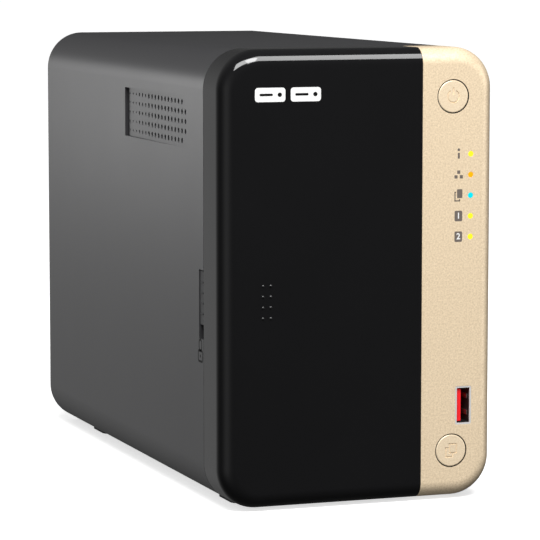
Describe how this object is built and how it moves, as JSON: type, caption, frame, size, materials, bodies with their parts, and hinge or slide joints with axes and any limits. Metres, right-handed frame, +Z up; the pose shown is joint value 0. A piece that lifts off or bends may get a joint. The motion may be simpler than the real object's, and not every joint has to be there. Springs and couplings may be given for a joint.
{
  "type": "network attached storage",
  "caption": "Upright two-bay storage box with a sliding front cover, side lock, push buttons, front USB socket, removable drive trays and a rear fan.",
  "frame": {"origin": "centre of the base on the surface that the feet stand on, halfway between the grip bumps and the rear screw heads", "axes": "+Z up, -Y out of the front, +X to the right seen from the front"},
  "size_m": [0.105, 0.226, 0.165],
  "materials": {
    "housing_grey": "satin dark grey, moulded plastic",
    "cover_black": "polished black",
    "fascia_gold": "champagne gold, fine satin grain",
    "button_gold": "champagne gold, satin",
    "frame_black": "textured black plastic",
    "lock_black": "satin black plastic",
    "switch_body": "plain",
    "pipe_clear": "frosted clear plastic",
    "board_green": "solder mask",
    "connector_steel": "tinned steel",
    "tongue_red": "red plastic",
    "tongue_black": "black plastic",
    "screw_steel": "zinc plated",
    "screw_black": "black oxide",
    "cage_steel": "galvanised sheet",
    "tray_black": "black plastic",
    "clip_grey": "grey plastic",
    "pin_steel": "ground",
    "drive_alloy": "cast, machined lid",
    "socket_black": "black plastic",
    "heatsink_alloy": "anodised",
    "chip_black": "epoxy",
    "cell_steel": "nickel plated",
    "panel_black": "black powder coat",
    "fan_black": "black plastic",
    "rubber_black": "matt rubber"
  },
  "bodies": {
    "housing": {"backplane_board": "board_green", "backplane_screws": "screw_steel", "backplane_slot": "socket_black", "board_link": "socket_black", "cage_screws": "screw_steel", "coin_cell": "cell_steel", "dc_jack": "socket_black", "drive_cage": "cage_steel", "fan_frame": "fan_black", "fan_screws": "screw_black", "fascia": "fascia_gold", "fascia_screws": "screw_steel", "feet": "rubber_black", "frame_screws": "screw_steel", "front_board": "board_green", "front_board_screws": "screw_steel", "front_frame": "frame_black", "front_usb_shell": "connector_steel", "front_usb_tongue": "tongue_red", "hdmi_shell": "connector_steel", "hdmi_tongue": "tongue_black", "heatsink": "heatsink_alloy", "lan_socket_1": "socket_black", "lan_socket_2": "socket_black", "light_pipe_disk_1": "pipe_clear", "light_pipe_disk_2": "pipe_clear", "light_pipe_lan": "pipe_clear", "light_pipe_status": "pipe_clear", "light_pipe_usb": "pipe_clear", "mainboard": "board_green", "mainboard_chips": "chip_black", "mainboard_screws": "screw_steel", "memory_module_1": "board_green", "memory_module_2": "board_green", "memory_sockets": "socket_black", "outer_shell": "housing_grey", "panel_screws": "screw_black", "processor": "chip_black", "rear_panel": "panel_black", "rear_usb_shells": "connector_steel", "rear_usb_tongues": "tongue_black", "sata_connector_1": "socket_black", "sata_connector_2": "socket_black", "tact_switches": "switch_body"},
    "cover": {"front_cover": "cover_black"},
    "lock": {"cover_lock": "lock_black"},
    "power": {"power_button": "button_gold"},
    "copy": {"copy_button": "button_gold"},
    "reset": {"reset_button": "lock_black"},
    "fan": {"fan_rotor": "fan_black"},
    "tray_1": {"tray_1": "tray_black", "tray_handle_1": "tray_black", "handle_pin_1": "pin_steel", "drive_clips_1": "clip_grey", "hard_drive_1": "drive_alloy"},
    "tray_2": {"tray_2": "tray_black", "tray_handle_2": "tray_black", "handle_pin_2": "pin_steel", "drive_clips_2": "clip_grey", "hard_drive_2": "drive_alloy"}
  },
  "joints": [
    {"name": "cover_slide", "type": "slide", "parent": "housing", "child": "cover", "axis": [-1, 0, 0], "range_m": [0, 0.08]},
    {"name": "lock_slide", "type": "slide", "parent": "housing", "child": "lock", "axis": [0, 0, -1], "range_m": [0, 0.0047]},
    {"name": "power_press", "type": "slide", "parent": "housing", "child": "power", "axis": [0, 1, 0], "range_m": [0, 0.0008], "stiffness_N_per_m": 800, "springref_m": -0.0006},
    {"name": "copy_press", "type": "slide", "parent": "housing", "child": "copy", "axis": [0, 1, 0], "range_m": [0, 0.0008], "stiffness_N_per_m": 800, "springref_m": -0.0006},
    {"name": "reset_press", "type": "slide", "parent": "housing", "child": "reset", "axis": [0, -1, 0], "range_m": [0, 0.0005], "stiffness_N_per_m": 1200, "springref_m": -0.0004},
    {"name": "fan_spin", "type": "hinge", "parent": "housing", "child": "fan", "pos_m": [-0.0135, 0.095, 0.098], "axis": [0, 1, 0], "continuous": true},
    {"name": "tray_1_slide", "type": "slide", "parent": "housing", "child": "tray_1", "axis": [0, -1, 0], "range_m": [0, 0.007]},
    {"name": "tray_2_slide", "type": "slide", "parent": "housing", "child": "tray_2", "axis": [0, -1, 0], "range_m": [0, 0.007]}
  ]
}
